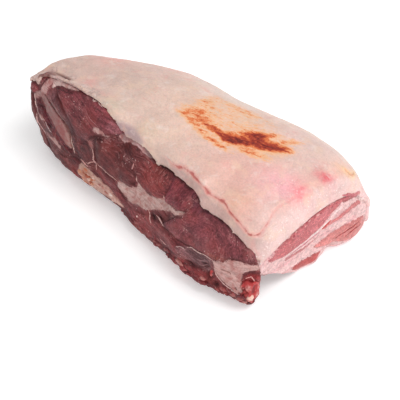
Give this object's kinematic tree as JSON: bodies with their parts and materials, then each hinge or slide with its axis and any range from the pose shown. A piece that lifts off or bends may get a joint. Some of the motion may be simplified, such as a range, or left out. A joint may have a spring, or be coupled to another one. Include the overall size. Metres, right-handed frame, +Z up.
{
  "type": "half lamb shoulder",
  "caption": "Half of a raw lamb shoulder on the bone, lying on its rib side, with a long cut of dark muscle, a thick cap of outer fat and a blade bone at the cut.",
  "frame": {"origin": "on the table, under the middle of the piece's bounding box", "axes": "+X runs along the piece towards the end with the thickest fat, +Y goes from the long dark cut to the far side, and +Z is up from the flat rib side"},
  "size_m": [0.2192, 0.1286, 0.0702],
  "materials": {
    "lean": "raw lean meat, moist and dark red, with pale seams of fat and silverskin between the muscles",
    "fat": "raw outer fat, cream to pink, waxy and slightly moist, with a smeared orange-brown ink mark on top",
    "bone": "cut bone, rough, pink with a paler rim"
  },
  "bodies": {
    "root": {"lean_shoulder": "lean", "fat_cap": "fat", "blade_bone": "bone", "corner_bone": "bone"}
  },
  "joints": []
}
